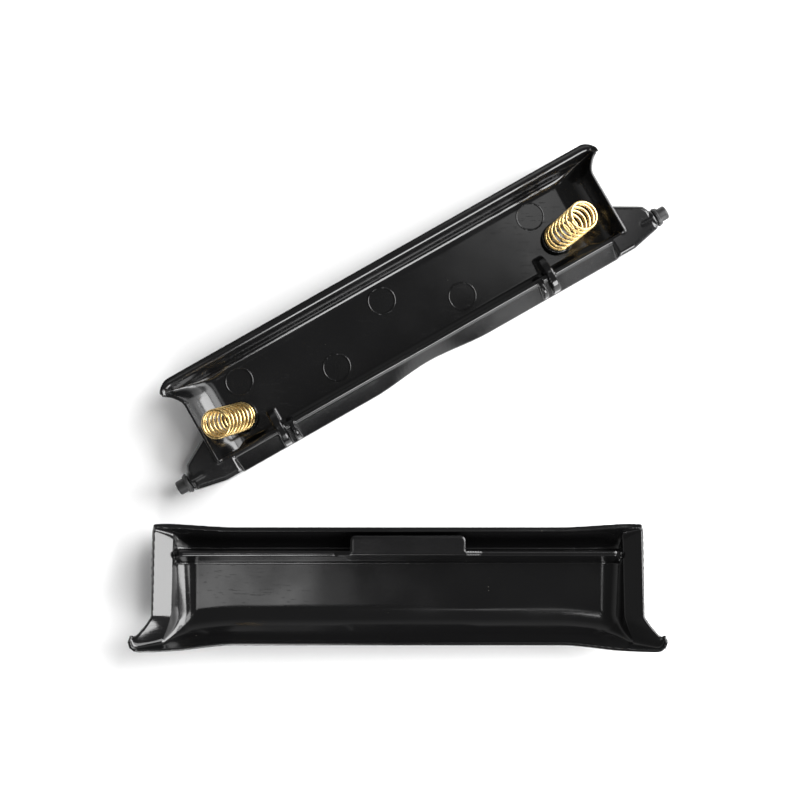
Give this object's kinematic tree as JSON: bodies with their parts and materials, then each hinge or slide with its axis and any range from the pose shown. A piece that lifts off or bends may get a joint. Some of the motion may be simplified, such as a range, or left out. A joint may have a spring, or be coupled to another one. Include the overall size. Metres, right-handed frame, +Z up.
{
  "type": "sprung grip handle",
  "caption": "Long black moulded grip handle, laid open: a flap on two end pins with return springs, and the trough-shaped shell it nests in.",
  "frame": {"origin": "centre of the overall box, on the surface that both mouldings lie on", "axes": "+Z up out of the open troughs; +X along the grip shell; the flap's pivot line lies at 29.7 degrees to +X"},
  "size_m": [0.1612, 0.1514, 0.0259],
  "materials": {
    "black_gloss_plastic": "glossy injection-moulded, faint scuffs",
    "black_satin_plastic": "satin",
    "brass_wire": "bright drawn wire"
  },
  "bodies": {
    "grip_base": {"grip_shell": "black_gloss_plastic", "left_pivot_pin": "black_satin_plastic", "right_pivot_pin": "black_satin_plastic", "left_pin_collar": "black_satin_plastic", "right_pin_collar": "black_satin_plastic"},
    "flap": {"flap_shell": "black_gloss_plastic", "left_return_spring": "brass_wire", "right_return_spring": "brass_wire"}
  },
  "joints": [
    {"name": "flap_pivot", "type": "hinge", "parent": "grip_base", "child": "flap", "pos_m": [0.00636, 0.0142, 0.006], "axis": [0.8686, 0.4955, 0], "range_deg": [0, 20], "stiffness_Nm_per_rad": 0.17, "deforming": ["left_return_spring", "right_return_spring"]}
  ]
}
